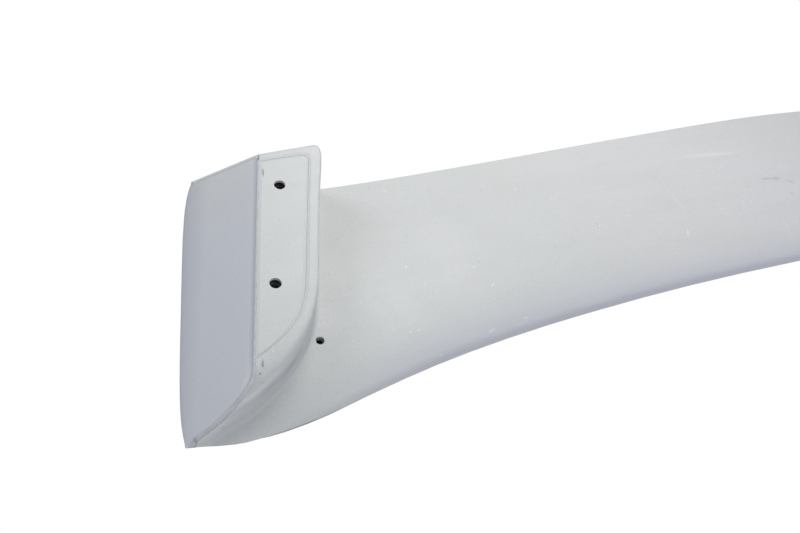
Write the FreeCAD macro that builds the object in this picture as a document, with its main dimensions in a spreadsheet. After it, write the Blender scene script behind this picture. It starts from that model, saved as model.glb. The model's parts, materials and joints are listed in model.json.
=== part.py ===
"""Boot-lid rear wing moulded in glass fibre: a blade with a hollow foot at each end.

Frame: millimetres, +Z up with the wing standing on its two foot pads at Z 0, +X to the right,
-Y towards the thick leading edge, +Y towards the thin trailing edge. The wing is symmetric about X 0.
"""

import math
import os

import FreeCAD
import Part
import Sketcher

SHEET_VALUES = {
    # span and planform
    "pad_rear_y": 91.0,
    "pad_rear_bow": 4.0,
    "pad_corner": 6.0,
    "pad_inner_rear_x": 513.5,
    "pad_inner_front_x": 551.5,
    "pad_inner_front_y": -35.0,
    "crease_rear_x": 563.5,
    "crease_front_x": 612.0,
    "crease_front_y": -89.0,
    "tip_rear_x": 611.5,
    "tip_front_x": 666.0,
    "tail_round": 6.0,
    "nose_round": 5.0,
    "corner_front_x": 655.0,
    "corner_front_y": -115.5,
    "side_slope": 0.7376,
    # blade section
    "nose_height": 52.0,
    "tail_height": 60.5,
    "crown_rise": 3.0,
    "belly_depth": 14.0,
    "back_height": 12.0,
    "tail_half_thickness": 0.9,
    "droop_start_x": 470.0,
    # laminate
    "skin_thickness": 2.5,
    "parting_gap": 0.3,
    "seam_gap": 0.7,
    "seam_roll": 0.6,
    "mitre": 1.2,
    "bond_clearance": 0.4,
    # foot wall
    "wall_draft": 4.0,
    "wall_fillet": 12.0,
    "rim_width": 10.0,
    "rim_flare": 3.5,
    "front_softness": 2.4,
    "panel_corner": 9.0,
    "panel_skew": 1.0,
    "panel_fall": 2.0,
    "panel_inset": 1.3,
    "groove_depth": 0.6,
    "groove_reach": 2.4,
    # fixings
    "hole_diameter": 8.6,
    "hole_spacing": 88.0,
    "rear_hole_x": 555.0,
    "rear_hole_y": 59.0,
    "toe_degrees": 16.8,
    "small_hole_diameter": 6.6,
    "small_hole_x": 551.0,
    "small_hole_y": -55.0,
    "nut_bore": 6.8,
    "nut_across_flats": 13.0,
    "nut_thickness": 6.5,
    "plate_length": 132.0,
    "plate_width": 24.0,
    "plate_offset": 5.0,
    "plate_thickness": 3.0,
    "insert_wall": 1.8,
    "insert_thread_depth": 0.8,
    "insert_length": 10.0,
    # inner structure
    "spar_thickness": 3.0,
    "rib_thickness": 4.0,
    "inner_rib_x": 235.0,
    "outer_rib_x": 465.0,
    "spar_half_span": 478.0,
    "hollow_half_span": 485.0,
    "edge_bond_half_span": 470.0,
    "slot_margin": 12.0,
    "foam_height": 22.0,
    "foam_base": 14.5,
    "foam_shortfall": 20.0,
    "bead_width": 5.0,
    "bead_height": 1.6,
}

# plan stations of the blade: spanwise X, leading-edge Y and trailing-edge Y
LEADING_STATIONS = (
    (0, -58),
    (200, -61),
    (350, -71),
    (450, -83.5),
    (520, -98),
    (570, -112),
    (620, -119.5),
    (655, -117.5),
)
TRAILING_STATIONS = (
    (0, 121),
    (200, 112.5),
    (350, 102.8),
    (450, 97),
    (520, 94.5),
    (570, 96.5),
    (620, 101),
    (670, 104),
)

# chordwise rows of the surface nets, from nose to tail
CHORD_ROWS = (
    *(0, 0.012, 0.035, 0.07, 0.11, 0.16, 0.22, 0.29, 0.37),
    *(0.46, 0.56, 0.66, 0.76, 0.86, 0.94, 0.98, 1),
)
BLADE_COLUMNS = 12
PAD_COLUMNS = 6
BACK_COLUMNS = 20

# fullness of the underside and of the back: lower is blunter at the nose
BELLY_POWER = 0.47
BACK_POWER = 0.42

# how suddenly the tip rounds off at its tail and nose, and how suddenly the blade droops to it
TAIL_ROUND_POWER = 14
NOSE_ROUND_POWER = 12
DROOP_POWER = 2.2
TIP_THINNING = 0.75

# control points of the foot's front curves, from the end of the straight edge or from the front corner
RIDGE_AIM = FreeCAD.Vector(12, -37, 0)
RIDGE_LEAD = FreeCAD.Vector(-54, 14, 0)
RIDGE_END = FreeCAD.Vector(-4, 2, 0)
CREASE_AIM = FreeCAD.Vector(5, -15, 0)

# where along its front curve the foot's inner edge leaves the pad plane, and how gently
RIDGE_LIFT_START = 0.3
RIDGE_LIFT_POWER = 1.7

# chord fractions where the foot's edges change direction
PAD_FRONT_CHORD = 0.36
CREASE_FRONT_CHORD = 0.16
PANEL_REAR_CHORD = 0.955
PANEL_BEND_CHORD = 0.42
PANEL_TURN_CHORD = 0.27
PANEL_FRONT_CHORD = 0.205

# how far the panel's front curve keeps the directions in which it leaves and arrives
PANEL_LEAVING_PULL = 60
PANEL_ARRIVING_PULL = 54
PANEL_TURN_SHARE = 0.72

# the thickness that one part leaves clear of the next where both would touch
PLAY = 0.05

# the rim flares behind this chord, and the pad's inner rear corner is this sudden
FLARE_START_CHORD = 0.6
PAD_CORNER_POWER = 60

# the rim rolls into the flat of the pad at these shares of its width
RIM_SHARES = (0.45, 0.9, 1.15, 1.4)

# least laminate where the skins meet, and the share of the room there that each may fill
LEAST_LAMINATE = 0.3
ROOM_SHARE = 0.75
NOSE_BAND_CHORD = 0.05

# chord fractions of the spars, the bonds along both edges and the hollow that the ribs fill
FRONT_SPAR_CHORD = 0.28
REAR_SPAR_CHORD = 0.66
MEAN_CHORD_LENGTH = 180.0
NOSE_BOND_CHORDS = (0.045, 0.052, 0.06)
TAIL_BOND_CHORDS = (0.87, 0.9, 0.94, 0.97)
HOLLOW_CHORDS = (0.07, 0.1, 0.15, 0.25, 0.4, 0.55, 0.7, 0.8, 0.85)
SEAM_BEAD_CHORDS = (0.24, 0.95)

SIDES = (("right", 1), ("left", -1))


def make_sheet(doc):
    """Write the driving dimensions into the document's spreadsheet."""
    sheet = doc.addObject("Spreadsheet::Sheet", "dimensions")
    for row, (name, value) in enumerate(SHEET_VALUES.items(), start=1):
        sheet.set(f"A{row}", name)
        sheet.set(f"B{row}", str(value))
        sheet.setAlias(f"B{row}", name)
    doc.recompute()
    return sheet


def through(stations, x):
    """Smooth curve value at x through the stations, symmetric about x 0."""
    x = min(abs(x), stations[-1][0])
    count = len(stations)
    for index in range(count - 1):
        if x <= stations[index + 1][0]:
            break

    def slope(k):
        if k == 0:
            return 0.0
        low = stations[k - 1]
        high = stations[min(k + 1, count - 1)]
        return (high[1] - low[1]) / (high[0] - low[0])

    x0, y0 = stations[index]
    x1, y1 = stations[index + 1]
    width = x1 - x0
    part = (x - x0) / width
    return (
        y0 * (1 + 2 * part) * (1 - part) ** 2
        + y1 * (3 - 2 * part) * part**2
        + slope(index) * width * part * (1 - part) ** 2
        - slope(index + 1) * width * (1 - part) * part**2
    )


def bulge(chord, power):
    """Blunt-nosed thickness curve: 0 at the nose and tail, 1 at its fullest."""
    peak = power / (1 + power)
    return chord**power * (1 - chord) / (peak**power * (1 - peak))


def bezier(points, part):
    """Point on a Bezier curve."""
    points = list(points)
    while len(points) > 1:
        points = [a + (b - a) * part for a, b in zip(points, points[1:])]
    return points[0]


class Wing:
    """Formulas for the outer shape of the right half."""

    def __init__(self, sheet):
        for name in SHEET_VALUES:
            setattr(self, name, float(getattr(sheet, name)))

    def plan_y(self, x, chord):
        front = through(LEADING_STATIONS, x)
        rear = through(TRAILING_STATIONS, x)
        return front + (rear - front) * chord

    def side_height(self, x, y):
        """Height of the flat, undercut outer face above the pad plane."""
        run_x = self.crease_front_x - self.crease_rear_x
        run_y = self.pad_rear_y - self.crease_front_y
        length = (run_x**2 + run_y**2) ** 0.5
        across = (run_y * (x - self.crease_front_x) + run_x * (y - self.crease_front_y)) / length
        return self.side_slope * across

    def tip_x(self, chord):
        """Outermost X of the blade, rounded off at the tail and at the nose."""
        straight = self.tip_front_x + (self.tip_rear_x + self.tail_round - self.tip_front_x) * chord
        tail = self.tail_round * chord**TAIL_ROUND_POWER
        nose = self.nose_round * (1 - chord) ** NOSE_ROUND_POWER
        return straight - tail - nose

    def middle_height(self, x, chord):
        """Height of the surface midway between the skins, drooping to the tip edge."""
        crown = self.crown_rise * (1 - min(abs(x) / self.droop_start_x, 1) ** 2)
        level = self.nose_height + (self.tail_height - self.nose_height) * chord + crown
        if x <= self.droop_start_x:
            return level
        tip = self.tip_x(chord)
        edge = self.side_height(tip, self.plan_y(tip, chord))
        part = (x - self.droop_start_x) / (tip - self.droop_start_x)
        return level + (edge - level) * part**DROOP_POWER

    def belly_height(self, x, chord):
        depth = self.belly_depth * bulge(chord, BELLY_POWER) + self.tail_half_thickness * chord
        part = max(0, (x - self.droop_start_x) / (self.corner_front_x - self.droop_start_x))
        return self.middle_height(x, chord) - depth * (1 - TIP_THINNING * part**2)

    def back_rise(self, x, chord):
        rise = self.back_height * bulge(chord, BACK_POWER) + self.tail_half_thickness * chord
        part = max(0, (x - self.droop_start_x) / (self.tip_x(chord) - self.droop_start_x))
        return rise * (1 - part**2)

    def ridge(self, chord):
        """Inner edge of the foot, running forward and up into the front corner."""
        if chord >= PAD_FRONT_CHORD:
            part = (1 - chord) / (1 - PAD_FRONT_CHORD)
            x = self.pad_inner_rear_x + (self.pad_inner_front_x - self.pad_inner_rear_x) * part
            rear = self.pad_rear_y + self.pad_rear_bow
            y = rear + (self.pad_inner_front_y - rear) * part
            flare = self.rim_flare * max(0, (chord - FLARE_START_CHORD) / (1 - FLARE_START_CHORD)) ** 2
            return FreeCAD.Vector(x - flare + self.pad_corner * chord**PAD_CORNER_POWER, y, 0)
        part = 1 - chord / PAD_FRONT_CHORD
        start = FreeCAD.Vector(self.pad_inner_front_x, self.pad_inner_front_y, 0)
        corner = FreeCAD.Vector(self.corner_front_x, self.corner_front_y, 0)
        point = bezier((start, start + RIDGE_AIM, corner + RIDGE_LEAD, corner + RIDGE_END), part)
        top = self.side_height(corner.x, corner.y)
        point.z = top * max(0, (part - RIDGE_LIFT_START) / (1 - RIDGE_LIFT_START)) ** RIDGE_LIFT_POWER
        return point

    def crease(self, chord):
        """Outer edge of the foot, where the undercut outer face starts."""
        if chord >= CREASE_FRONT_CHORD:
            part = (1 - chord) / (1 - CREASE_FRONT_CHORD)
            x = self.crease_rear_x + (self.crease_front_x - self.crease_rear_x) * part
            y = self.pad_rear_y + (self.crease_front_y - self.pad_rear_y) * part
            return FreeCAD.Vector(x, y, 0)
        part = 1 - chord / CREASE_FRONT_CHORD
        start = FreeCAD.Vector(self.crease_front_x, self.crease_front_y, 0)
        end = FreeCAD.Vector(self.corner_front_x, self.corner_front_y, 0)
        point = bezier((start, start + CREASE_AIM, end), part)
        point.z = max(0, self.side_height(point.x, point.y))
        return point

    def thinned(self, room):
        """Laminate that fits in the given room on one side of the parting surface."""
        return max(LEAST_LAMINATE, ROOM_SHARE * room - self.parting_gap / 2)

    def nose_point(self, x):
        """Foremost point of the blade, where the two skins part."""
        return FreeCAD.Vector(x, self.plan_y(x, 0), self.middle_height(x, 0))


def lower_row(wing, chord):
    """One spanwise row of the lower skin's outer net, from the middle to the crease."""
    ridge = wing.ridge(chord)
    crease = wing.crease(chord)
    soft = max(0, 1 - chord / PAD_FRONT_CHORD)
    knee_x = ridge.x - wing.wall_draft * (1 + soft)
    root_x = knee_x - wing.wall_fillet * (1 + soft)
    row = []
    for column in range(BLADE_COLUMNS + 1):
        x = root_x * column / BLADE_COLUMNS
        row.append(FreeCAD.Vector(x, wing.plan_y(x, chord), wing.belly_height(x, chord)))
    root = row[-1]
    blend_y = root.y + (ridge.y - root.y) * 0.75
    knee = FreeCAD.Vector(knee_x, blend_y, max(wing.belly_height(knee_x, chord), ridge.z + 0.5))
    row.append(root + (knee - root) * 0.5)
    row.append(knee)
    wall = knee - ridge
    height = wall.Length
    for share in (1 - min(6, height / 4) / height, 0.5, min(5, height / 4) / height):
        row.append(ridge + wall * share)
    across = crease - ridge
    width = across.Length
    cut = min(wing.front_softness * soft, width / 8, height / 4)
    row.append(ridge + wall * (cut / height) + across * (cut / width))
    rim = min(wing.rim_width / width, 0.3)
    for share in RIM_SHARES:
        row.append(ridge + across * (rim * share))
    flat = rim * RIM_SHARES[-1]
    for column in range(1, PAD_COLUMNS - 1):
        row.append(ridge + across * (flat + (1 - flat) * column / PAD_COLUMNS))
    row.append(crease - across * min(4 / width, 0.2))
    row.append(crease - across * min(2 / width, 0.1))
    roll = FreeCAD.Vector(0, 0, wing.seam_roll)
    row.append(crease - across * (wing.seam_gap / width) + roll)
    return row


def nose_row(wing, follower):
    """Foremost row of the lower skin, in step with the row behind it and reaching the front corner."""
    root_x = follower[BLADE_COLUMNS].x
    stretch = (wing.corner_front_x - wing.seam_gap - root_x) / (follower[-1].x - root_x)
    row = []
    for point in follower:
        x = point.x if point.x <= root_x else root_x + (point.x - root_x) * stretch
        row.append(wing.nose_point(x))
    return row


def upper_row(wing, chord):
    """One spanwise row of the upper skin's outer net, from the middle over the tip to the crease."""
    tip = wing.tip_x(chord)
    row = []
    crowding = 1.15
    stations = [tip * (1 - (1 - column / BACK_COLUMNS) ** crowding) for column in range(BACK_COLUMNS - 1)]
    for x in (*stations, tip - 4, tip):
        height = wing.middle_height(x, chord) + wing.back_rise(x, chord)
        row.append(FreeCAD.Vector(x, wing.plan_y(x, chord), height))
    edge = row[-1]
    crease = wing.crease(chord) if chord > 0 else wing.nose_point(wing.crease(0).x)
    side = crease - edge
    length = side.Length
    turn = min(3, length / 4) / length
    for part in (turn, 0.3, 0.6, 1 - 4 / length, 1 - 2.2 / length):
        row.append(edge + side * part)
    inward = FreeCAD.Vector(-wing.side_slope, 0, 1).normalize() * wing.seam_roll
    row.append(crease - side * (wing.seam_gap / length) + inward)
    return row


def shift(points, x=0.0, y=0.0, z=0.0):
    return [point + FreeCAD.Vector(x, y, z) for point in points]


def mirrored(row):
    """Full-width row from the right half row, whose first point is on the middle plane."""
    left = [FreeCAD.Vector(-point.x, point.y, point.z) for point in reversed(row[1:])]
    return left + row


def blended(first, second, part):
    return [a + (b - a) * part for a, b in zip(first, second)]


def inward_rows(rows, side, thickness, limits):
    """Inner net: every point moved inward along the net's own normal."""
    inner = []
    for i, row in enumerate(rows):
        before = rows[max(i - 1, 0)]
        after = rows[min(i + 1, len(rows) - 1)]
        moved = []
        for j, point in enumerate(row):
            along = row[min(j + 1, len(row) - 1)] - row[max(j - 1, 0)]
            normal = along.cross(after[j] - before[j])
            normal.normalize()
            moved.append(point + normal * (side * min(thickness, limits[i][j])))
        inner.append(moved)
    return inner


def inward_half(rows, side, thickness, limits):
    """Right half of the inner net of a symmetric skin, from the right half of its outer net."""
    full_rows = [mirrored(row) for row in rows]
    full_limits = [limit[:0:-1] + limit for limit in limits]
    middle = len(rows[0]) - 1
    return [row[middle:] for row in inward_rows(full_rows, side, thickness, full_limits)]


def net_surface(rows, degree_rows=3, degree_columns=3):
    """B-spline surface whose control net is the given rows."""

    def knots(count, degree):
        inner = count - degree
        return list(range(inner + 1)), [degree + 1] + [1] * (inner - 1) + [degree + 1]

    row_knots, row_mults = knots(len(rows), degree_rows)
    column_knots, column_mults = knots(len(rows[0]), degree_columns)
    surface = Part.BSplineSurface()
    surface.buildFromPolesMultsKnots(
        rows, row_mults, column_mults, row_knots, column_knots, False, False, degree_rows, degree_columns
    )
    return surface.toShape()


def shell_solid(outer, inner, degree=3):
    """Closed skin between an outer and an inner net of the same size."""
    faces = [net_surface(outer, degree), net_surface(inner, degree)]
    for pick in (0, -1):
        faces.append(net_surface([outer[pick], inner[pick]], 1))
        side = [[row[pick] for row in outer], [row[pick] for row in inner]]
        faces.append(net_surface(side, 1, degree))
    shell = Part.makeShell(faces)
    shell.sewShape()
    solid = Part.makeSolid(shell.Shells[0])
    if solid.Volume < 0:
        solid.reverse()
    return solid


def lower_nets(wing):
    """Outer and inner nets of the lower skin, turned up at the tail to close the feet."""
    rows = [lower_row(wing, chord) for chord in CHORD_ROWS]
    rows[0] = shift(nose_row(wing, rows[1]), z=-wing.parting_gap / 2)
    limits = []
    for chord, row in zip(CHORD_ROWS, rows):
        rooms = [wing.middle_height(point.x, chord) - point.z for point in row]
        thin = [wing.thinned(room) for room in rooms]
        limits.append(thin if chord > NOSE_BAND_CHORD else [wing.skin_thickness] * len(row))
    inner = inward_half(rows, 1, wing.skin_thickness, limits)
    for row, outer in zip(inner, rows):
        row[-1] = FreeCAD.Vector(outer[-2].x - wing.mitre, row[-1].y, row[-2].z)
    inner[0] = shift(rows[0], y=wing.skin_thickness)
    inner[-1] = shift(inner[-1], y=-wing.skin_thickness)
    base = rows[-1]
    top = []
    first = BLADE_COLUMNS + 2
    span = wing.tip_rear_x - base[first].x - wing.seam_gap
    for column, point in enumerate(base):
        x = point.x
        if column > first:
            x = base[first].x + span * (column - first) / (len(base) - 1 - first)
        height = wing.middle_height(x, 1) - wing.parting_gap / 2
        top.append(FreeCAD.Vector(x, wing.plan_y(x, 1), height))
    inner_top = shift(top, y=-wing.skin_thickness)
    inner_base = inner[-1]
    for part in (0.06, 0.35, 0.7, 1):
        rows.append(blended(base, top, part))
        inner.append(blended(inner_base, inner_top, part))
    return [mirrored(row) for row in rows], [mirrored(row) for row in inner]


def upper_nets(wing):
    """Outer and inner nets of the upper skin."""
    rows = [upper_row(wing, chord) for chord in CHORD_ROWS]
    side = BACK_COLUMNS + 1
    wall = wing.skin_thickness + wing.parting_gap
    rows[-1] = rows[-1][:side] + shift(rows[-1][side:], y=-wall)
    rows[0] = shift(rows[0], z=wing.parting_gap / 2)
    limits = []
    for chord, row in zip(CHORD_ROWS, rows):
        limit = []
        for column, point in enumerate(row):
            room = point.z - wing.middle_height(point.x, chord)
            free = chord < NOSE_BAND_CHORD or column > BACK_COLUMNS - 3
            limit.append(wing.skin_thickness if free else wing.thinned(room))
        limits.append(limit)
    inner = inward_half(rows, -1, wing.skin_thickness, limits)
    inner[0] = shift(rows[0], y=wing.skin_thickness)
    inner[-1] = shift(inner[-1][:side], y=-wing.skin_thickness) + inner[-1][side:]
    base = rows[-1]
    inner_base = inner[-1]
    top = []
    for column, point in enumerate(base):
        if column < side:
            height = wing.middle_height(point.x, 1) + wing.parting_gap / 2
            top.append(FreeCAD.Vector(point.x, point.y, height))
        else:
            top.append(point + FreeCAD.Vector(0, 0.4, 0))
    inner_top = shift(top[:side], y=-wing.skin_thickness) + shift(inner_base[side:], y=0.4)
    for part in (0.5, 1):
        rows.append(blended(base, top, part))
        inner.append(blended(inner_base, inner_top, part))
    return [mirrored(row) for row in rows], [mirrored(row) for row in inner]


class Inside(Wing):
    """Formulas for the hollow between the skins."""

    def laminate(self, room):
        """Upright thickness of a skin, which slopes and so measures more than across it."""
        slope_allowance = 1.15
        return min(self.skin_thickness * slope_allowance, ROOM_SHARE * room - self.parting_gap / 2)

    def floor_height(self, x, chord, clearance):
        room = self.middle_height(x, chord) - self.belly_height(x, chord)
        return self.belly_height(x, chord) + self.laminate(room) + clearance

    def roof_height(self, x, chord, clearance):
        rise = self.back_rise(x, chord)
        return self.middle_height(x, chord) + rise - self.laminate(rise) - clearance


def filling(inside, half_span, chords, clearance):
    """Solid that fills the hollow between the given chord fractions, short of both skins."""
    columns = 24
    floor = []
    roof = []
    for chord in chords:
        stations = [half_span * (2 * column / columns - 1) for column in range(columns + 1)]
        low = []
        high = []
        for x in stations:
            y = inside.plan_y(x, chord)
            low.append(FreeCAD.Vector(x, y, inside.floor_height(abs(x), chord, clearance)))
            high.append(FreeCAD.Vector(x, y, inside.roof_height(abs(x), chord, clearance)))
        floor.append(low)
        roof.append(high)
    return shell_solid(floor, roof, min(3, len(chords) - 1))


def add_feature(doc, name, shape):
    feature = doc.addObject("Part::Feature", name)
    feature.Label = name
    feature.Shape = shape
    return feature


def add_round(doc, name, radius, x, y, z, height):
    """Upright cylinder whose radius is an expression on the sheet."""
    round_bar = doc.addObject("Part::Cylinder", name)
    round_bar.setExpression("Radius", radius)
    round_bar.Height = height
    round_bar.Placement.Base = FreeCAD.Vector(x, y, z)
    return round_bar


def add_fuse(doc, name, pieces):
    fuse = doc.addObject("Part::MultiFuse", name)
    fuse.Shapes = pieces
    return fuse


def add_cut(doc, name, base, tool):
    cut = doc.addObject("Part::Cut", name)
    cut.Label = name
    cut.Base = base
    cut.Tool = tool
    return cut


def add_rib(doc, name, x, space, slots):
    """Rib across the hollow at x, cut where the two spars run through."""
    blank = doc.addObject("Part::Box", f"{name}_blank")
    blank.setExpression("Length", "dimensions.rib_thickness")
    blank_width = 300
    blank.Width = blank_width
    blank.Height = 100
    blank.setExpression("Placement.Base.x", f"{x} - dimensions.rib_thickness / 2")
    blank.setExpression("Placement.Base.y", f"-{blank_width / 2}")
    common = doc.addObject("Part::MultiCommon", f"{name}_web")
    common.Shapes = [blank, space]
    return add_cut(doc, name, common, slots)


def hole_centres(wing, side):
    """Rear and front fixing hole of one foot; side is 1 on the right and -1 on the left."""
    toe = math.radians(wing.toe_degrees)
    rear = FreeCAD.Vector(side * wing.rear_hole_x, wing.rear_hole_y, 0)
    run = FreeCAD.Vector(side * math.sin(toe), -math.cos(toe), 0) * wing.hole_spacing
    return rear, rear + run


def pad_outline(wing, side, grow, reach=0.0):
    """Outline of the foot's closing panel, grown outward, and carried further across the crease by reach."""
    inset = wing.rim_width - grow
    near = wing.panel_inset - grow
    rear_inner = wing.ridge(PANEL_REAR_CHORD) + FreeCAD.Vector(inset + wing.panel_skew, grow, 0)
    rear_outer = wing.crease(PANEL_REAR_CHORD) - FreeCAD.Vector(near, 0, 0)
    rear_outer.y = rear_inner.y - wing.panel_fall
    front_outer = wing.crease(PANEL_FRONT_CHORD) + FreeCAD.Vector(-near, -grow, 0)
    bend = wing.ridge(PANEL_BEND_CHORD) + FreeCAD.Vector(inset, 0, 0)
    diagonal = inset * PANEL_TURN_SHARE
    turn = wing.ridge(PANEL_TURN_CHORD) + FreeCAD.Vector(diagonal, diagonal, 0)
    for point in (rear_inner, rear_outer, front_outer, bend, turn):
        point.x *= side
    straight = (bend - rear_inner).normalize()
    rear_edge = (rear_outer - rear_inner).normalize()
    corner = Part.BezierCurve()
    corner_start = rear_inner + rear_edge * wing.panel_corner
    corner_end = rear_inner + straight * wing.panel_corner
    corner.setPoles([corner_start, rear_inner, corner_end])
    curve = Part.BSplineCurve()
    leaving = straight * PANEL_LEAVING_PULL
    arriving = FreeCAD.Vector(side * 1, -0.5, 0)
    pull = arriving * PANEL_ARRIVING_PULL
    curve.interpolate([bend, turn, front_outer], InitialTangent=leaving, FinalTangent=pull)
    corners = [front_outer, rear_outer, corner_start]
    if reach > 0:
        corners = [front_outer, front_outer + arriving * reach, rear_outer + rear_edge * reach, corner_start]
    edges = [corner.toShape(), Part.LineSegment(corner_end, bend).toShape(), curve.toShape()]
    edges += [Part.LineSegment(a, b).toShape() for a, b in zip(corners, corners[1:])]
    return Part.Wire(edges)


def panel_blank(wing, side):
    """Flat closing panel with a chamfered outer edge."""
    bevel = wing.groove_depth
    low = pad_outline(wing, side, -wing.groove_reach)
    full = pad_outline(wing, side, 0)
    full.translate(FreeCAD.Vector(0, 0, bevel))
    rim = Part.makeLoft([low, full], True, True)
    slab = Part.Face(full).extrude(FreeCAD.Vector(0, 0, wing.skin_thickness - bevel))
    return rim.fuse(slab).removeSplitter()


def panel_opening(wing, side):
    """Two tools that open the lower skin for the closing panel: the hole and its bevelled mouth."""
    gap = wing.parting_gap
    bevel = wing.groove_depth
    beyond = 3
    below = 4
    overshoot = 0.2
    straight = Part.Face(pad_outline(wing, side, gap, beyond)).extrude(FreeCAD.Vector(0, 0, 3.5 * below))
    straight.translate(FreeCAD.Vector(0, 0, -below))
    mouth = pad_outline(wing, side, gap + wing.groove_reach * (1 + overshoot), beyond)
    mouth.translate(FreeCAD.Vector(0, 0, -bevel * overshoot))
    throat = pad_outline(wing, side, gap, beyond)
    throat.translate(FreeCAD.Vector(0, 0, bevel))
    return straight, Part.makeLoft([mouth, throat], True, True)


def panel_bond(wing, side):
    """Ring of bonding paste in the joint around the closing panel, filling the crease seam beside it."""
    height = 0.7
    reach_over_crease = 0.35
    base = 0.75 * wing.groove_depth
    outer = Part.Face(pad_outline(wing, side, wing.parting_gap - PLAY, reach_over_crease))
    inner = Part.Face(pad_outline(wing, side, PLAY))
    ring = outer.cut(inner).extrude(FreeCAD.Vector(0, 0, height))
    ring.translate(FreeCAD.Vector(0, 0, base))
    return ring


def add_plate(doc, name, wing, side):
    """Steel backing plate lying on the inside of the foot pad, with two holes."""
    rear, front = hole_centres(wing, side)
    body = doc.addObject("PartDesign::Body", name)
    body.Label = name
    plane = [f for f in body.Origin.OriginFeatures if f.Role == "XY_Plane"][0]
    sketch = body.newObject("Sketcher::SketchObject", f"{name}_outline")
    sketch.AttachmentSupport = [(plane, "")]
    sketch.MapMode = "FlatFace"
    half_length = wing.plate_length / 2
    half_width = wing.plate_width / 2
    corners = [
        (-half_width, -half_length),
        (half_width, -half_length),
        (half_width, half_length),
        (-half_width, half_length),
    ]
    for index in range(4):
        a = FreeCAD.Vector(*corners[index], 0)
        b = FreeCAD.Vector(*corners[(index + 1) % 4], 0)
        sketch.addGeometry(Part.LineSegment(a, b), False)
    for index in range(4):
        sketch.addConstraint(Sketcher.Constraint("Coincident", index, 2, (index + 1) % 4, 1))
    sketch.addConstraint(Sketcher.Constraint("Horizontal", 0))
    sketch.addConstraint(Sketcher.Constraint("Horizontal", 2))
    sketch.addConstraint(Sketcher.Constraint("Vertical", 1))
    sketch.addConstraint(Sketcher.Constraint("Vertical", 3))
    sketch.addConstraint(Sketcher.Constraint("Symmetric", 0, 1, 1, 2, -1, 1))
    width = sketch.addConstraint(Sketcher.Constraint("DistanceX", 0, 1, 0, 2, wing.plate_width))
    length = sketch.addConstraint(Sketcher.Constraint("DistanceY", 1, 1, 1, 2, wing.plate_length))
    sketch.setExpression(f"Constraints[{width}]", "dimensions.plate_width")
    sketch.setExpression(f"Constraints[{length}]", "dimensions.plate_length")
    for place in (-1, 1):
        centre = FreeCAD.Vector(side * wing.plate_offset, place * wing.hole_spacing / 2, 0)
        hole = Part.Circle(centre, FreeCAD.Vector(0, 0, 1), wing.hole_diameter / 2)
        circle = sketch.addGeometry(hole, False)
        radius = sketch.addConstraint(Sketcher.Constraint("Radius", circle, wing.hole_diameter / 2))
        sketch.setExpression(f"Constraints[{radius}]", "dimensions.hole_diameter / 2")
        across = sketch.addConstraint(Sketcher.Constraint("DistanceX", circle, 3, side * wing.plate_offset))
        sketch.setExpression(f"Constraints[{across}]", f"{side} * dimensions.plate_offset")
        half_spacing = place * wing.hole_spacing / 2
        offset = sketch.addConstraint(Sketcher.Constraint("DistanceY", circle, 3, half_spacing))
        sketch.setExpression(f"Constraints[{offset}]", f"{place} * dimensions.hole_spacing / 2")
    pad = body.newObject("PartDesign::Pad", f"{name}_pad")
    pad.Profile = sketch
    pad.setExpression("Length", "dimensions.plate_thickness")
    turn = FreeCAD.Rotation(FreeCAD.Vector(0, 0, 1), side * wing.toe_degrees)
    middle = (rear + front) * 0.5 - turn.multVec(FreeCAD.Vector(side * wing.plate_offset, 0, 0))
    middle.z = wing.skin_thickness + wing.bond_clearance
    body.Placement = FreeCAD.Placement(middle, turn)
    return body


def add_foot_foam(doc, name, wing, side):
    """Foam packing block inside the foot, over the fixings."""
    rear, front = hole_centres(wing, side)
    block = doc.addObject("Part::Box", name)
    block.Label = name
    block.setExpression("Length", "dimensions.plate_width")
    block.setExpression("Width", "dimensions.plate_length - dimensions.foam_shortfall")
    block.setExpression("Height", "dimensions.foam_height")
    turn = FreeCAD.Rotation(FreeCAD.Vector(0, 0, 1), side * wing.toe_degrees)
    length = wing.plate_length - wing.foam_shortfall
    corner = turn.multVec(FreeCAD.Vector(-wing.plate_width / 2, -length / 2, 0))
    middle = (rear + front) * 0.5 + corner
    middle.z = wing.foam_base
    block.Placement = FreeCAD.Placement(middle, turn)
    return block


def add_nuts(doc, name, wing):
    """Weld nuts over the four fixing holes."""
    blanks = []
    bores = []
    height = wing.skin_thickness + wing.bond_clearance + wing.plate_thickness + PLAY
    drill_length = 12
    for word, side in SIDES:
        for spot, centre in zip(("rear", "front"), hole_centres(wing, side)):
            tag = f"{word}_{spot}"
            blank = doc.addObject("Part::Prism", f"nut_blank_{tag}")
            blank.Polygon = 6
            blank.setExpression("Circumradius", "dimensions.nut_across_flats / sqrt(3)")
            blank.setExpression("Height", "dimensions.nut_thickness")
            blank.Placement.Base = FreeCAD.Vector(centre.x, centre.y, height)
            blanks.append(blank)
            radius = "dimensions.nut_bore / 2"
            place = (centre.x, centre.y, height - 1)
            bores.append(add_round(doc, f"nut_bore_{tag}", radius, *place, drill_length))
    blank_set = add_fuse(doc, f"{name}_blanks", blanks)
    return add_cut(doc, name, blank_set, add_fuse(doc, f"{name}_bores", bores))


def belly_chord(wing, x, y):
    front = wing.plan_y(x, 0)
    return (y - front) / (wing.plan_y(x, 1) - front)


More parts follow.
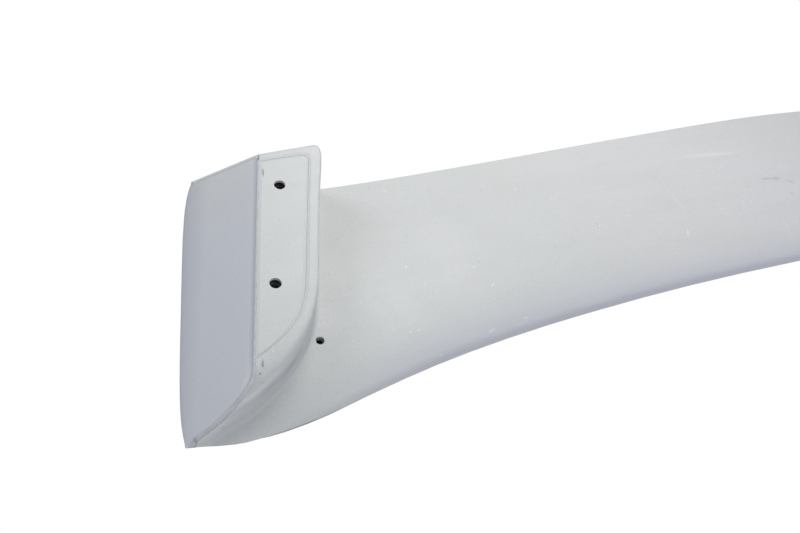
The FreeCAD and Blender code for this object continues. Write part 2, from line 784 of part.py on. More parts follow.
def add_small_inserts(doc, name, wing):
    """Threaded sleeves behind the small holes in the underside."""
    y = wing.small_hole_y
    chord = belly_chord(wing, wing.small_hole_x, y)
    clear_of_skin = 0.9
    height = wing.belly_height(wing.small_hole_x, chord) + wing.skin_thickness + clear_of_skin
    bore = "dimensions.small_hole_diameter / 2 - dimensions.insert_thread_depth"
    outside = f"{bore} + dimensions.insert_wall"
    drill_length = wing.insert_length + 2
    sleeves = []
    bores = []
    for word, side in SIDES:
        x = side * wing.small_hole_x
        sleeves.append(add_round(doc, f"sleeve_{word}", outside, x, y, height, wing.insert_length))
        bores.append(add_round(doc, f"sleeve_bore_{word}", bore, x, y, height - 1, drill_length))
    sleeve_pair = add_fuse(doc, f"{name}_sleeves", sleeves)
    return add_cut(doc, name, sleeve_pair, add_fuse(doc, f"{name}_bores", bores))


def seam_bead(wing, side):
    """Bead of bonding paste inside the corner between pad and outer face."""
    sections = []
    base = wing.skin_thickness + wing.bond_clearance
    top = base + wing.bead_height
    foot = 1.6
    lean = 0.4
    profile = ((-wing.bead_width, base), (-foot, base), (lean, top), (-wing.bead_width, top))
    for chord in SEAM_BEAD_CHORDS:
        crease = wing.crease(chord)
        points = [FreeCAD.Vector(side * (crease.x + across), crease.y, z) for across, z in profile]
        sections.append(Part.makePolygon(points + points[:1]))
    return Part.makeLoft(sections, True, True)


def check(feature):
    """Stop the build when an object failed or gave no usable solid."""
    shape = feature.Shape
    failed = "Invalid" in feature.State or "Error" in feature.State
    if failed or shape.isNull() or not shape.isValid():
        raise RuntimeError(f"{feature.Label} did not build")


def add_lower_skin(doc, wing):
    """Lower skin, opened for the closing panels and drilled for the small holes."""
    moulding = add_feature(doc, "lower_moulding", shell_solid(*lower_nets(wing)))
    openings = []
    drill_start = 25
    drill_length = 25
    for word, side in SIDES:
        for spot, tool in zip(("hole", "mouth"), panel_opening(wing, side)):
            openings.append(add_feature(doc, f"{word}_{spot}", tool))
        x = side * wing.small_hole_x
        radius = "dimensions.small_hole_diameter / 2"
        place = (x, wing.small_hole_y, drill_start)
        openings.append(add_round(doc, f"small_hole_{word}", radius, *place, drill_length))
    return add_cut(doc, "lower_skin", moulding, add_fuse(doc, "lower_openings", openings))


def add_spars_and_ribs(doc, wing):
    """Two spars along the hollow, and the ribs that they run through."""
    nodes = []
    slots = []
    clearance = wing.bond_clearance
    width = wing.spar_thickness / MEAN_CHORD_LENGTH
    play = 0.003
    for name, chord in (("front_spar", FRONT_SPAR_CHORD), ("rear_spar", REAR_SPAR_CHORD)):
        chords = (chord, chord + width)
        nodes.append(add_feature(doc, name, filling(wing, wing.spar_half_span, chords, clearance)))
        slot_chords = (chord - play, chord + width + play)
        slot = filling(wing, wing.spar_half_span + wing.slot_margin, slot_chords, clearance - 0.3)
        slots.append(add_feature(doc, f"{name}_slot", slot))
    slot_pair = add_fuse(doc, "spar_slots", slots)
    space = add_feature(doc, "hollow", filling(wing, wing.hollow_half_span, HOLLOW_CHORDS, clearance))
    nodes.append(add_rib(doc, "centre_rib", 0, space, slot_pair))
    for word, side in SIDES:
        for spot in ("inner", "outer"):
            place = side * getattr(wing, f"{spot}_rib_x")
            nodes.append(add_rib(doc, f"{word}_{spot}_rib", place, space, slot_pair))
    return nodes


def add_foot_parts(doc, wing, word, side):
    """Everything that belongs to one foot."""
    drills = []
    for spot, centre in zip(("rear", "front"), hole_centres(wing, side)):
        radius = "dimensions.hole_diameter / 2"
        drills.append(add_round(doc, f"pad_hole_{word}_{spot}", radius, centre.x, centre.y, -5, 12))
    drill_pair = add_fuse(doc, f"pad_drill_{word}", drills)
    blank = add_feature(doc, f"{word}_panel_blank", panel_blank(wing, side))
    return [
        add_cut(doc, f"{word}_foot_panel", blank, drill_pair),
        add_feature(doc, f"{word}_panel_bond", panel_bond(wing, side)),
        add_plate(doc, f"{word}_foot_plate", wing, side),
        add_foot_foam(doc, f"{word}_foot_foam", wing, side),
        add_feature(doc, f"{word}_seam_bond", seam_bead(wing, side)),
    ]


def main():
    doc = FreeCAD.newDocument("rear_wing")
    wing = Inside(make_sheet(doc))
    half_span = wing.edge_bond_half_span
    tail_clearance = 0.12
    nose_strip = filling(wing, half_span, NOSE_BOND_CHORDS, wing.bond_clearance)
    tail_strip = filling(wing, half_span, TAIL_BOND_CHORDS, tail_clearance)
    nodes = [
        add_lower_skin(doc, wing),
        add_feature(doc, "upper_skin", shell_solid(*upper_nets(wing))),
        add_feature(doc, "leading_edge_bond", nose_strip),
        add_feature(doc, "trailing_edge_bond", tail_strip),
        add_nuts(doc, "mounting_nuts", wing),
        add_small_inserts(doc, "underside_inserts", wing),
    ]
    nodes += add_spars_and_ribs(doc, wing)
    for word, side in SIDES:
        nodes += add_foot_parts(doc, wing, word, side)

    doc.recompute()
    os.makedirs("parts", exist_ok=True)
    for node in nodes:
        check(node)
        node.Shape.exportStep(f"parts/{node.Label}.step")
        box = node.Shape.BoundBox
        print(f"{node.Label}: {len(node.Shape.Solids)} solids, {node.Shape.Volume:.0f} mm3, {box}")


main()
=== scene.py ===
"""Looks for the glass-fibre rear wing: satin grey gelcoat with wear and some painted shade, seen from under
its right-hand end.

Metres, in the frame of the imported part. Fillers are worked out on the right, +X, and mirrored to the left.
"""

import json
import math

import bpy
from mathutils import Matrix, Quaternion, Vector


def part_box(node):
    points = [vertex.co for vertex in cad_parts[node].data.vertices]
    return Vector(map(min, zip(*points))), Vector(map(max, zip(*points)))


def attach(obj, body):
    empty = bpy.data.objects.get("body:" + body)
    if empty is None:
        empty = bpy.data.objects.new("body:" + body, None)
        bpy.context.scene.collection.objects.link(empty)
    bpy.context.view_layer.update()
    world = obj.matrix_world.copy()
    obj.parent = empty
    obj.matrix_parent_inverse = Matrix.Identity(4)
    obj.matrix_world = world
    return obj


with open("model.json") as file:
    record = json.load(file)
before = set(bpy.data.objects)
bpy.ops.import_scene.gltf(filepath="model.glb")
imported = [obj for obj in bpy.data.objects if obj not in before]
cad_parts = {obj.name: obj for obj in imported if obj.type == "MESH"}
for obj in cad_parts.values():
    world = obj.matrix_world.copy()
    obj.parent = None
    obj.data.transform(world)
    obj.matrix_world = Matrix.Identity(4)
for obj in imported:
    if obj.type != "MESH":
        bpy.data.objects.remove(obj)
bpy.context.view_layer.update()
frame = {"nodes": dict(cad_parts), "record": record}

NODES = frame["nodes"]
SIDES = (("right", 1), ("left", -1))
MILLIMETRE = 0.001

# camera: under the right foot, looking up and inboard at the underside
CAMERA_PLACE = Vector((0.7218, -0.3450, -0.5185))
CAMERA_AIM = Vector((0.4683, -0.0009, 0.0450))
CAMERA_ROLL = -158.97
CAMERA_LENS = 40.5
SENSOR_WIDTH = 36.0

# crease between a foot's pad and its outer face, on the right: straight, then curving into the front corner
CREASE_REAR = Vector((0.5635, 0.0910, 0.0))
CREASE_FRONT = Vector((0.6120, -0.0890, 0.0))
CREASE_AIM = Vector((0.6170, -0.1040, 0.0))
CREASE_CORNER = Vector((0.6550, -0.1155, 0.0))

# outer face on the right: its rise for each unit outboard of the crease, and the rear end of its upper edge
SIDE_SLOPE = 0.7376
TIP_REAR = Vector((0.6108, 0.0984, 0.0357))

# last stretch of the crease's seam, where it runs out at the front corner
CORNER_SEAM = (Vector((0.6525, -0.1153, 0.0285)), Vector((0.6546, -0.1167, 0.0306)))

# directions: towards the tail, along the crease, level and outboard of it, and out of the outer face
REARWARD = Vector((0, 1, 0))
CREASE_RUN = CREASE_FRONT - CREASE_REAR
OUTBOARD = Vector((-CREASE_RUN.y, CREASE_RUN.x, 0)).normalized()
FACE_OUTWARD = (OUTBOARD * SIDE_SLOPE - Vector((0, 0, 1))).normalized()

# plan of the leading edge: its Y in the middle, and how far forward it has swept at the feet
NOSE_MIDDLE_Y = -0.058
NOSE_SWEEP = 0.054
FOOT_X = 0.570

# where the gelcoat's tints and painted shades fade: the two distances in metres between which each one comes
# in or goes out
MIDDLE_FADE = (0.12, 0.46)
BETWEEN_FEET = (0.46, 0.56)
NOSE_SHADE_BAND = (0.003, 0.032)
FACE_SKIN = (-0.0040, -0.0015)
FACE_START = (0.0, 0.0040)
FACE_TAIL = (-0.06, 0.005)
TIP_SHADE_BAND = (0.034, 0.050)
GROOVE_INNER = (-0.0016, -0.0001)
GROOVE_OUTER = (0.0008, 0.0036)
GROOVE_END = (-0.004, 0.012)

GELCOAT_GREY = (0.588, 0.602, 0.575)
MIDDLE_GREY = (0.600, 0.596, 0.592)
# the next three greys are painted shade: over the outer face, along the leading edge and along the crease
FACE_SHADE_GREY = (0.525, 0.545, 0.580)
NOSE_SHADE_GREY = (0.530, 0.540, 0.575)
GROOVE_SHADE_GREY = (0.340, 0.355, 0.410)
PRIMER_PINK = (0.40, 0.33, 0.36)
BARE_LAMINATE = (0.16, 0.14, 0.15)
CHALK_WHITE = (0.86, 0.88, 0.86)
# grey of the grain and grit, also used for the painted shade beside the foot
GRIME_AND_SHADE_GREY = (0.33, 0.34, 0.36)
OLIVE_GRIME = (0.34, 0.35, 0.30)

# lights: name, place, aim, width, watts, colour
LIGHTS = (
    ("key_below", (0.24, 0.42, -0.55), (0.27, 0.02, 0.04), 0.5, 3.35, (1.0, 0.99, 0.965)),
    ("side_below", (1.6, 0.8, -1.1), (0.55, 0.0, 0.02), 1.0, 7.1, (0.97, 0.98, 1.0)),
    ("fill_below", (-0.05, -1.5, -1.0), (0.28, 0.0, 0.04), 1.4, 11.0, (0.93, 0.94, 1.0)),
    ("key_above", (-0.8, -1.2, 2.8), (0.0, 0.0, 0.04), 3.2, 75.0, (1.0, 0.99, 0.97)),
)
AMBIENT = (0.39, 0.40, 0.45, 1)
BACKDROP = (1, 1, 1, 1)

FLOOR_GREY = (0.80, 0.80, 0.80, 1)
FLOOR_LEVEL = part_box("lower_skin")[0].z - 0.5 * MILLIMETRE
FLOOR_HALF = 40.0


# ---------------------------------------------------------------- shader helpers


class Tree:
    """Small wrapper that adds and links shader nodes."""

    def __init__(self, name):
        self.material = bpy.data.materials.new(name)
        self.material.use_nodes = True
        self.tree = self.material.node_tree
        self.shader = self.tree.nodes["Principled BSDF"]
        self.place = self.add("ShaderNodeTexCoord").outputs["Object"]

    def add(self, kind, **settings):
        node = self.tree.nodes.new(kind)
        for key, value in settings.items():
            setattr(node, key, value)
        return node

    def feed(self, socket, value):
        """Link a socket to another one, or set its value; a colour of three channels gets full alpha."""
        if isinstance(value, bpy.types.NodeSocket):
            self.tree.links.new(value, socket)
        elif isinstance(value, tuple) and len(value) == 3 and len(socket.default_value) == 4:
            socket.default_value = (*value, 1.0)
        else:
            socket.default_value = value

    def maths(self, operation, first, second=0.0):
        node = self.add("ShaderNodeMath", operation=operation)
        self.feed(node.inputs[0], first)
        self.feed(node.inputs[1], second)
        return node.outputs[0]

    def product(self, *values):
        """All the values multiplied together."""
        total = values[0]
        for value in values[1:]:
            total = self.maths("MULTIPLY", total, value)
        return total

    def any_of(self, masks):
        """The strongest of the masks."""
        total = masks[0]
        for mask in masks[1:]:
            total = self.maths("MAXIMUM", total, mask)
        return total

    def noise(self, scale, detail, place=None):
        node = self.add("ShaderNodeTexNoise")
        self.feed(node.inputs["Vector"], place or self.place)
        node.inputs["Scale"].default_value = scale
        node.inputs["Detail"].default_value = detail
        return node.outputs["Fac"]

    def ramp(self, value, low, high, start=0.0, end=1.0):
        """Straight ramp from start, where the value is low, to end, where it is high."""
        node = self.add("ShaderNodeMapRange", clamp=True)
        self.feed(node.inputs["Value"], value)
        for name, number in zip(("From Min", "From Max", "To Min", "To Max"), (low, high, start, end)):
            node.inputs[name].default_value = number
        return node.outputs["Result"]

    def mix(self, part, first, second):
        node = self.add("ShaderNodeMix", data_type="RGBA")
        self.feed(node.inputs["Factor"], part)
        colours = [socket for socket in node.inputs if socket.type == "RGBA"]
        self.feed(colours[0], first)
        self.feed(colours[1], second)
        return [socket for socket in node.outputs if socket.type == "RGBA"][0]

    def paint(self, colour, layers):
        """Lay each paint over the colour in turn, as far as its mask lets it."""
        for mask, paint in layers:
            colour = self.mix(mask, colour, paint)
        return colour

    def stretched(self, scale, turn):
        """Object coordinates scaled along each axis, then turned about Z by some degrees."""
        node = self.add("ShaderNodeMapping")
        self.feed(node.inputs["Vector"], self.place)
        node.inputs["Scale"].default_value = scale
        node.inputs["Rotation"].default_value = (0, 0, math.radians(turn))
        return node.outputs["Vector"]

    def spot(self, centre, reach, turn=0.0, ragged=0.5, soft=0.35):
        """1 inside a ragged oval round the centre, 0 outside; reach is its three half sizes."""
        node = self.add("ShaderNodeMapping", vector_type="TEXTURE")
        self.feed(node.inputs["Vector"], self.place)
        node.inputs["Location"].default_value = centre
        node.inputs["Rotation"].default_value = (0, 0, math.radians(turn))
        node.inputs["Scale"].default_value = reach
        length = self.add("ShaderNodeVectorMath", operation="LENGTH")
        self.feed(length.inputs[0], node.outputs["Vector"])
        edge = self.maths("MULTIPLY", self.maths("SUBTRACT", self.noise(700, detail=3), 0.5), 2 * ragged)
        return self.ramp(self.maths("ADD", length.outputs["Value"], edge), 1.0 + soft, 1.0 - soft)

    def marks(self, table, ragged=0.5, soft=0.35):
        """Mask of all the spots in a table."""
        return self.any_of([self.spot(*mark, ragged=ragged, soft=soft) for mark in table])

    def beyond_plane(self, point, normal):
        """Signed distance in metres past the plane through the point, the same on both ends of the wing."""
        split = self.add("ShaderNodeSeparateXYZ")
        self.feed(split.inputs[0], self.place)
        join = self.add("ShaderNodeCombineXYZ")
        self.feed(join.inputs[0], self.maths("ABSOLUTE", split.outputs[0]))
        self.feed(join.inputs[1], split.outputs[1])
        self.feed(join.inputs[2], split.outputs[2])
        dot = self.add("ShaderNodeVectorMath", operation="DOT_PRODUCT")
        self.feed(dot.inputs[0], join.outputs[0])
        dot.inputs[1].default_value = normal
        return self.maths("SUBTRACT", dot.outputs["Value"], point.dot(normal))

    def from_middle(self):
        """Distance in metres from the middle of the span."""
        return self.beyond_plane(Vector((0, 0, 0)), Vector((1, 0, 0)))

    def behind_nose(self):
        """Distance in metres behind the swept leading edge."""
        outward = self.maths("DIVIDE", self.from_middle(), FOOT_X)
        sweep = self.maths("MULTIPLY", self.maths("POWER", outward, 3.0), NOSE_SWEEP)
        return self.maths("ADD", self.beyond_plane(Vector((0, NOSE_MIDDLE_Y, 0)), REARWARD), sweep)

    def bump(self, height, distance, under=None):
        node = self.add("ShaderNodeBump")
        self.feed(node.inputs["Height"], height)
        node.inputs["Distance"].default_value = distance
        if under is not None:
            self.feed(node.inputs["Normal"], under)
        return node.outputs["Normal"]


def darker(colour, share):
    """The colour, dimmed to a share of its brightness."""
    return tuple(channel * share for channel in colour)


# ---------------------------------------------------------------- gelcoat

# knocks, rubs and grime marks on the right-hand half, and painted shade in the hollow beside the foot:
# centre, half sizes, turn in degrees
PINK_CHIPS = (((0.5645, 0.0725, 0.000), (0.0007, 0.0032, 0.002), 12),)
DARK_CHIPS = (
    ((0.6045, -0.0845, 0.000), (0.0007, 0.0030, 0.002), 14),
    ((0.6075, -0.0900, 0.001), (0.0005, 0.0010, 0.002), 0),
    ((0.5560, 0.0945, 0.001), (0.0024, 0.0010, 0.002), 0),
)
CHALK_SPECKS = (
    ((0.410, -0.015, 0.043), (0.0012, 0.0007, 0.003), 0),
    ((0.401, -0.034, 0.042), (0.0026, 0.0006, 0.003), 134),
    ((0.334, 0.063, 0.053), (0.0015, 0.0006, 0.003), 160),
    ((0.482, -0.061, 0.041), (0.0009, 0.0007, 0.003), 140),
    ((0.475, -0.061, 0.041), (0.0015, 0.0005, 0.003), 135),
    ((0.416, -0.071, 0.044), (0.0040, 0.0005, 0.003), 160),
    ((0.384, -0.066, 0.044), (0.0030, 0.0004, 0.003), 178),
    ((0.463, -0.082, 0.045), (0.0014, 0.0006, 0.003), 166),
    ((0.198, -0.016, 0.043), (0.0026, 0.0009, 0.003), -69),
)
RUBBED_LINES = (
    ((0.188, 0.019, 0.046), (0.0130, 0.0009, 0.006), -97),
    ((0.092, -0.032, 0.044), (0.0097, 0.0006, 0.006), -79),
    ((0.113, 0.072, 0.053), (0.0240, 0.0022, 0.006), 3),
)
SMUDGES = (
    ((0.075, 0.030, 0.047), (0.0044, 0.0012, 0.006), 2),
    ((0.065, 0.029, 0.047), (0.0046, 0.0019, 0.006), 2),
    ((0.051, 0.022, 0.046), (0.0032, 0.0013, 0.006), 29),
    ((0.060, 0.008, 0.044), (0.0016, 0.0009, 0.006), 63),
)
# painted shade: soft dark streaks along the hollow inboard of the foot's ridge
VALLEY_PAINTED_SHADE = (
    ((0.582, -0.080, 0.020), (0.0150, 0.0020, 0.004), -41),
    ((0.602, -0.094, 0.018), (0.0150, 0.0019, 0.004), -32),
    ((0.621, -0.1035, 0.018), (0.0130, 0.0016, 0.004), -23),
)


def mottled(t, grey):
    """Grey that turns neutral towards the middle, under clouds, wiping streaks, grain, grit and dust."""
    wiped = t.stretched((0.25, 2.2, 1.0), turn=24)
    turned = t.stretched((1, 1, 1), turn=50)
    neutral = t.ramp(t.from_middle(), *MIDDLE_FADE, 0.85, 0.0)
    clouds = t.ramp(t.noise(4.5, detail=3), 0.35, 0.65, 0.0, 0.7)
    streaks = t.ramp(t.noise(26, detail=4, place=wiped), 0.45, 0.75, 0.0, 0.30)
    grain = t.ramp(t.noise(1000, detail=2), 0.40, 0.78, 0.0, 0.26)
    grit = t.ramp(t.noise(420, detail=2), 0.71, 0.76, 0.0, 0.55)
    dust = t.ramp(t.noise(380, detail=2, place=turned), 0.72, 0.78, 0.0, 0.6)
    layers = (
        (neutral, MIDDLE_GREY),
        (clouds, darker(grey, 0.93)),
        (streaks, darker(grey, 0.88)),
        (grain, GRIME_AND_SHADE_GREY),
        (grit, GRIME_AND_SHADE_GREY),
        (dust, CHALK_WHITE),
    )
    return t.paint(grey, layers)


def nose_painted_shade(t, colour):
    """Painted shade: a cooler, darker band along the leading edge, which fades out at the feet."""
    band = t.ramp(t.behind_nose(), *NOSE_SHADE_BAND, 0.70, 0.0)
    between_feet = t.ramp(t.from_middle(), *BETWEEN_FEET, 1.0, 0.2)
    return t.mix(t.product(band, between_feet), colour, NOSE_SHADE_GREY)


def outer_face_painted_shade(t, colour):
    """Painted shade on the outer face: a cooler, darker grey over it, darker still towards the tip, and a
    darker line along the straight of the crease.
    """
    away = t.beyond_plane(CREASE_REAR, OUTBOARD)
    on_face = t.ramp(t.beyond_plane(CREASE_REAR, FACE_OUTWARD), *FACE_SKIN)
    tailward = t.ramp(t.beyond_plane(CREASE_REAR, REARWARD), *FACE_TAIL, 0.75, 0.25)
    straight = t.ramp(t.beyond_plane(CREASE_FRONT, REARWARD), *GROOVE_END)
    inner_side = t.ramp(away, *GROOVE_INNER)
    outer_side = t.ramp(away, *GROOVE_OUTER, 0.80, 0.0)
    layers = (
        (t.product(t.ramp(away, *FACE_START), on_face, tailward), FACE_SHADE_GREY),
        (t.product(t.ramp(away, *TIP_SHADE_BAND, 0.0, 0.45), on_face), GROOVE_SHADE_GREY),
        (t.product(inner_side, outer_side, on_face, straight), GROOVE_SHADE_GREY),
    )
    return t.paint(colour, layers)


def gelcoat(name, grey):
    """Satin gelcoat with uneven colour and gloss, the marks of use, and painted shade along the nose, over
    the outer face and in the hollow beside the foot.
    """
    t = Tree(name)
    smudges = t.marks(SMUDGES, ragged=1.0, soft=0.7)
    # painted shade along the hollow beside the foot
    valley_shade = t.marks(VALLEY_PAINTED_SHADE, ragged=0.2, soft=0.9)
    rubs = t.marks(RUBBED_LINES, ragged=1.0, soft=0.7)
    specks = t.marks(CHALK_SPECKS)
    pink = t.marks(PINK_CHIPS)
    dark = t.marks(DARK_CHIPS)
    layers = (
        (t.product(smudges, 0.50), OLIVE_GRIME),
        (t.product(valley_shade, 0.58), GRIME_AND_SHADE_GREY),
        (t.product(rubs, 0.15), CHALK_WHITE),
        (t.product(specks, 0.42), CHALK_WHITE),
        (t.product(pink, 0.7), PRIMER_PINK),
        (t.product(dark, 0.60), BARE_LAMINATE),
    )
    # mottled grey, then painted shade along the nose and over the outer face, then the marks and the painted
    # shade beside the foot
    colour = t.paint(outer_face_painted_shade(t, nose_painted_shade(t, mottled(t, grey))), layers)
    uneven = t.ramp(t.noise(30, detail=5), 0.3, 0.7, 0.40, 0.54)
    rough = t.maths("ADD", uneven, t.product(t.any_of([rubs, specks, dark]), 0.25))
    ripple = t.bump(t.noise(11, detail=2), 0.9 * MILLIMETRE)
    peel = t.bump(t.noise(520, detail=2), 0.10 * MILLIMETRE, ripple)
    sunk = t.bump(t.product(t.any_of([pink, dark]), -1.0), 0.5 * MILLIMETRE, peel)
    t.feed(t.shader.inputs["Base Color"], colour)
    t.feed(t.shader.inputs["Roughness"], rough)
    t.feed(t.shader.inputs["Normal"], sunk)
    t.shader.inputs["Specular IOR Level"].default_value = 0.35
    return t.material


# ---------------------------------------------------------------- other finishes


def plain(name, colour, rough, metal=0.0, grain=500.0):
    """Secondary finishes: a colour with grain, uneven gloss and a fine bump."""
    t = Tree(name)
    blotches = t.noise(grain * 0.2, detail=5)
    uneven = t.ramp(t.noise(grain, detail=4), 0.25, 0.75, rough - 0.1, rough + 0.1)
    t.feed(t.shader.inputs["Base Color"], t.mix(blotches, colour, darker(colour, 0.7)))
    t.feed(t.shader.inputs["Roughness"], uneven)
    t.shader.inputs["Metallic"].default_value = metal
    t.feed(t.shader.inputs["Normal"], t.bump(t.noise(grain, detail=3), 0.2 * MILLIMETRE))
    return t.material


# steel and the nuts' zinc are dimmed far below bare metal as painted shade, so the bores read dark; the
# underside inserts get a brighter copy of the zinc so that they glint
STEEL = plain("dull_steel", (0.17, 0.17, 0.175), 0.42, metal=1.0)
FINISHES = {
    "gelcoat": gelcoat("grey_gelcoat", GELCOAT_GREY),
    "laminate_web": plain("raw_laminate", (0.50, 0.53, 0.36), 0.5),
    "bond_paste": plain("bond_paste", (0.26, 0.25, 0.24), 0.7),
    "steel_plate": STEEL,
    "zinc_nut": plain("zinc", (0.30, 0.30, 0.29), 0.38, metal=1.0),
    "foam": plain("closed_cell_foam", (0.30, 0.28, 0.24), 0.9, grain=900.0),
}
FILLER = plain("seam_filler", (0.54, 0.56, 0.57), 0.55, grain=700.0)
TAIL_FILLER = plain("tail_filler", (0.66, 0.67, 0.64), 0.55, grain=700.0)
BRIGHT_ZINC = plain("bright_zinc", (0.85, 0.85, 0.82), 0.30, metal=1.0)
OWN_FINISHES = {
    "right_panel_bond": FILLER,
    "left_panel_bond": FILLER,
    "underside_inserts": BRIGHT_ZINC,
}


def finish_nodes():
    """Give each CAD node the finish of its record slot, or its own where it has one."""
    for part in frame["record"]["subparts"]:
        mesh = NODES[part["node"]].data
        mesh.materials.clear()
        mesh.materials.append(OWN_FINISHES.get(part["node"], FINISHES[part["material_slot"]]))


# ---------------------------------------------------------------- added pieces


def link_mesh(name, points, faces, material):
    """New smooth mesh piece that rides with the wing."""
    mesh = bpy.data.meshes.new(name)
    mesh.from_pydata([tuple(point) for point in points], [], faces)
    mesh.polygons.foreach_set("use_smooth", [True] * len(mesh.polygons))
    mesh.materials.append(material)
    piece = bpy.data.objects.new(name, mesh)
    bpy.context.scene.collection.objects.link(piece)
    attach(piece, "root")


def tube(name, path, profile, material):
    """Closed ring of (across, up) offsets, swept along a list of (centre, across, up) frames."""
    points = []
    faces = []
    count = len(profile)
    for centre, across, up in path:
        points += [centre + across * a + up * b for a, b in profile]
    for ring in range(len(path) - 1):
        for k in range(count):
            low = ring * count
            after = (k + 1) % count
            faces.append((low + k, low + after, low + count + after, low + count + k))
    last = (len(path) - 1) * count
    faces.append(tuple(reversed(range(count))))
    faces.append(tuple(range(last, last + count)))
    link_mesh(name, points, faces, material)


def round_profile(radius, flat):
    """Circle flattened to the given share of its height, as (across, up) offsets."""
    count = 10
    angles = [2 * math.pi * k / count for k in range(count)]
    return [(radius * math.cos(angle), flat * radius * math.sin(angle)) for angle in angles]


def put_on_side(path, side):
    """Frames of a right-hand path, or their mirror image taken backwards so that faces stay outward."""
    mirrored = []
    for vectors in path:
        mirrored.append([Vector((vector.x * side, vector.y, vector.z)) for vector in vectors])
    return mirrored[::side]


def straight_path(low, high, across, steps):
    """Frames from low to high, turned so that their profile lies along the across direction."""
    run = (high - low).normalized()
    up = run.cross(across)
    return [(low.lerp(high, step / steps), across, up) for step in range(steps + 1)]


def crease_point(part):
    """Point on the right-hand crease: 0 at the tail, 1 where it starts to curve, 2 at the front corner."""
    if part <= 1:
        return CREASE_REAR.lerp(CREASE_FRONT, part)
    t = part - 1
    point = CREASE_FRONT.lerp(CREASE_AIM, t).lerp(CREASE_AIM.lerp(CREASE_CORNER, t), t)
    height = SIDE_SLOPE * (point - CREASE_FRONT).dot(OUTBOARD)
    return Vector((point.x, point.y, max(0.0, height)))


def seam_filler(word, side):
    """Line of filler wiped into the seam along the crease, a little below the surface and uneven."""
    radius = 1.15 * MILLIMETRE
    depth = 1.25 * MILLIMETRE
    rise_at_front = 0.35 * MILLIMETRE
    unevenness = 0.05 * MILLIMETRE
    forward_at_front = Vector((0, -0.3 * MILLIMETRE, 0))
    widening = 0.6
    start, end = 0.03, 1.99
    front_start, front_length = 0.94, 0.1
    ahead = 0.02
    wave = 1.7
    steps = 90
    inward = Vector((-0.45, 0, 1)).normalized()
    path = []
    for step in range(steps + 1):
        part = start + (end - start) * step / steps
        run = (crease_point(min(part + ahead, 2)) - crease_point(part - ahead)).normalized()
        front = min(max((part - front_start) / front_length, 0), 1)
        sunk = depth - rise_at_front * front + unevenness * (1 - front) * math.sin(step * wave)
        centre = crease_point(part) + inward * sunk + forward_at_front * front
        across = inward.cross(run).normalized() * (1 + widening * front)
        path.append((centre, across, inward))
    tube(f"{word}_seam_filler", put_on_side(path, side), round_profile(radius, flat=0.75), FILLER)


def tail_filler(word, side):
    """Thin ribbon of filler closing the rear edge of the outer face, from the crease up to the tip."""
    low = CREASE_REAR + Vector((0.4, -1.8, 0.8)) * MILLIMETRE
    across = FACE_OUTWARD.cross((TIP_REAR - low).normalized()).normalized()
    path = put_on_side(straight_path(low, TIP_REAR, across, steps=24), side)
    tube(f"{word}_tail_filler", path, round_profile(1.8 * MILLIMETRE, flat=0.40), TAIL_FILLER)


def corner_filler(word, side):
    """Dab of filler where the crease seam runs out at the front corner."""
    low, high = CORNER_SEAM
    across = REARWARD.cross((high - low).normalized()).normalized()
    path = put_on_side(straight_path(low, high, across, steps=4), side)
    tube(f"{word}_corner_filler", path, round_profile(1.0 * MILLIMETRE, flat=0.6), FILLER)


def thread(name, start, radius, length):
    """Helical thread ridge standing in from the wall of a bore."""
    pitch = 1.25 * MILLIMETRE
    depth = 0.5 * MILLIMETRE
    bite = 0.05 * MILLIMETRE
    steps = 24
    path = []
    for step in range(int(length / pitch * steps)):
        angle = 2 * math.pi * step / steps
        out = Vector((math.cos(angle), math.sin(angle), 0))
        climb = Vector((0, 0, pitch * step / steps))
        path.append((start + out * radius + climb, out, Vector((0, 0, 1))))
    profile = ((bite, -depth), (-depth, 0.0), (bite, depth))
    tube(name, path, profile, STEEL)


def add_threads():
    """Threads in the weld nuts, each a little short of both ends of its bore."""
    short = 0.4 * MILLIMETRE
    for mount in frame["record"]["mounts"]:
        if mount["kind"] == "threaded_hole":
            radius = mount["dims"]["r_mm"] * MILLIMETRE
            length = mount["dims"]["length_mm"] * MILLIMETRE
            start = Vector(mount["pos_m"]) - Vector((0, 0, length / 2 - short))
            thread(f"{mount['name']}_thread", start, radius, length - 2 * short)


# ---------------------------------------------------------------- stage


def floor_material():
    """Pale surface that only the camera meets, and only from above; everything else passes through it."""
    material = bpy.data.materials.new("floor")
    material.use_nodes = True
    tree = material.node_tree
    shader = tree.nodes["Principled BSDF"]
    shader.inputs["Base Color"].default_value = FLOOR_GREY
    shader.inputs["Roughness"].default_value = 0.8
    geometry = tree.nodes.new("ShaderNodeNewGeometry")
    clear = tree.nodes.new("ShaderNodeBsdfTransparent")
    mix = tree.nodes.new("ShaderNodeMixShader")
    path = tree.nodes.new("ShaderNodeLightPath")
    indirect = tree.nodes.new("ShaderNodeMath")
    indirect.operation = "SUBTRACT"
    indirect.inputs[0].default_value = 1.0
    tree.links.new(path.outputs["Is Camera Ray"], indirect.inputs[1])
    see_through = tree.nodes.new("ShaderNodeMath")
    see_through.operation = "MAXIMUM"
    tree.links.new(geometry.outputs["Backfacing"], see_through.inputs[0])
    tree.links.new(indirect.outputs[0], see_through.inputs[1])
    tree.links.new(see_through.outputs[0], mix.inputs[0])
    tree.links.new(shader.outputs[0], mix.inputs[1])
    tree.links.new(clear.outputs[0], mix.inputs[2])
    tree.links.new(mix.outputs[0], tree.nodes["Material Output"].inputs["Surface"])
    return material


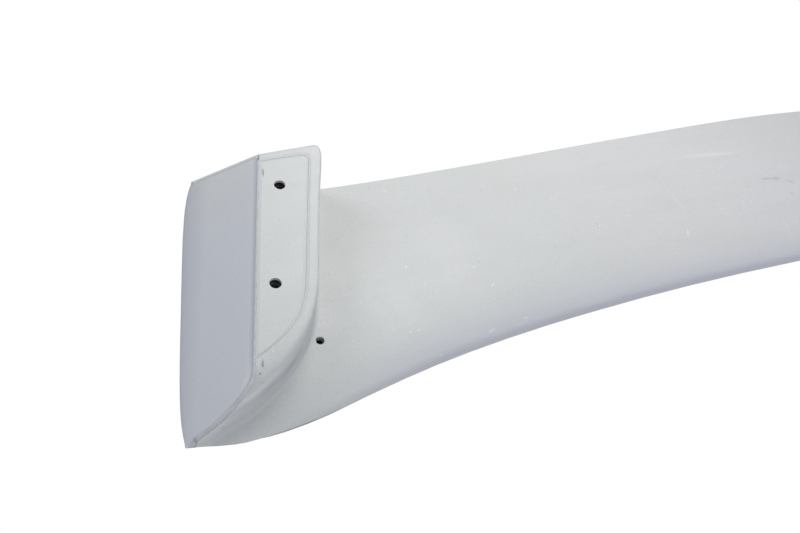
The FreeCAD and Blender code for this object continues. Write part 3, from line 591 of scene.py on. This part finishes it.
def one_sided_floor():
    """Wide level floor just under the object, which shows its shadow but hides nothing from below."""
    signs = ((-1, -1), (1, -1), (1, 1), (-1, 1))
    corners = [(x * FLOOR_HALF, y * FLOOR_HALF, FLOOR_LEVEL) for x, y in signs]
    mesh = bpy.data.meshes.new("floor")
    mesh.from_pydata(corners, [], [(0, 1, 2, 3)])
    mesh.materials.append(floor_material())
    floor = bpy.data.objects.new("floor", mesh)
    bpy.context.scene.collection.objects.link(floor)


def area_light(name, place, aim, width, watts, colour):
    """Round soft light, turned towards its aim."""
    light = bpy.data.lights.new(name, "AREA")
    light.shape = "DISK"
    light.size = width
    light.energy = watts
    light.color = colour
    lamp = bpy.data.objects.new(name, light)
    bpy.context.scene.collection.objects.link(lamp)
    lamp.location = place
    lamp.rotation_euler = (Vector(aim) - Vector(place)).to_track_quat("-Z", "Y").to_euler()


def world_light():
    """White behind the object, and a dimmer cool grey as the light that falls on it."""
    world = bpy.data.worlds.new("studio")
    bpy.context.scene.world = world
    world.use_nodes = True
    tree = world.node_tree
    path = tree.nodes.new("ShaderNodeLightPath")
    mix = tree.nodes.new("ShaderNodeMix")
    mix.data_type = "RGBA"
    tree.links.new(path.outputs["Is Camera Ray"], mix.inputs[0])
    colours = [socket for socket in mix.inputs if socket.type == "RGBA"]
    colours[0].default_value = AMBIENT
    colours[1].default_value = BACKDROP
    mixed = [socket for socket in mix.outputs if socket.type == "RGBA"][0]
    tree.links.new(mixed, tree.nodes["Background"].inputs["Color"])


def camera():
    """Camera at its place, looking at its aim and rolled, because the wing is seen from below."""
    data = bpy.data.cameras.new("camera")
    data.lens = CAMERA_LENS
    data.sensor_width = SENSOR_WIDTH
    data.clip_start = 0.01
    eye = bpy.data.objects.new("camera", data)
    bpy.context.scene.collection.objects.link(eye)
    eye.location = CAMERA_PLACE
    look = (CAMERA_AIM - CAMERA_PLACE).to_track_quat("-Z", "Y")
    roll = Quaternion((0, 0, 1), math.radians(CAMERA_ROLL))
    eye.rotation_mode = "QUATERNION"
    eye.rotation_quaternion = look @ roll
    bpy.context.scene.camera = eye


finish_nodes()
for side_word, side_sign in SIDES:
    seam_filler(side_word, side_sign)
    tail_filler(side_word, side_sign)
    corner_filler(side_word, side_sign)
add_threads()
one_sided_floor()
world_light()
for lamp_settings in LIGHTS:
    area_light(*lamp_settings)
camera()
bpy.context.scene.view_settings.view_transform = "Standard"
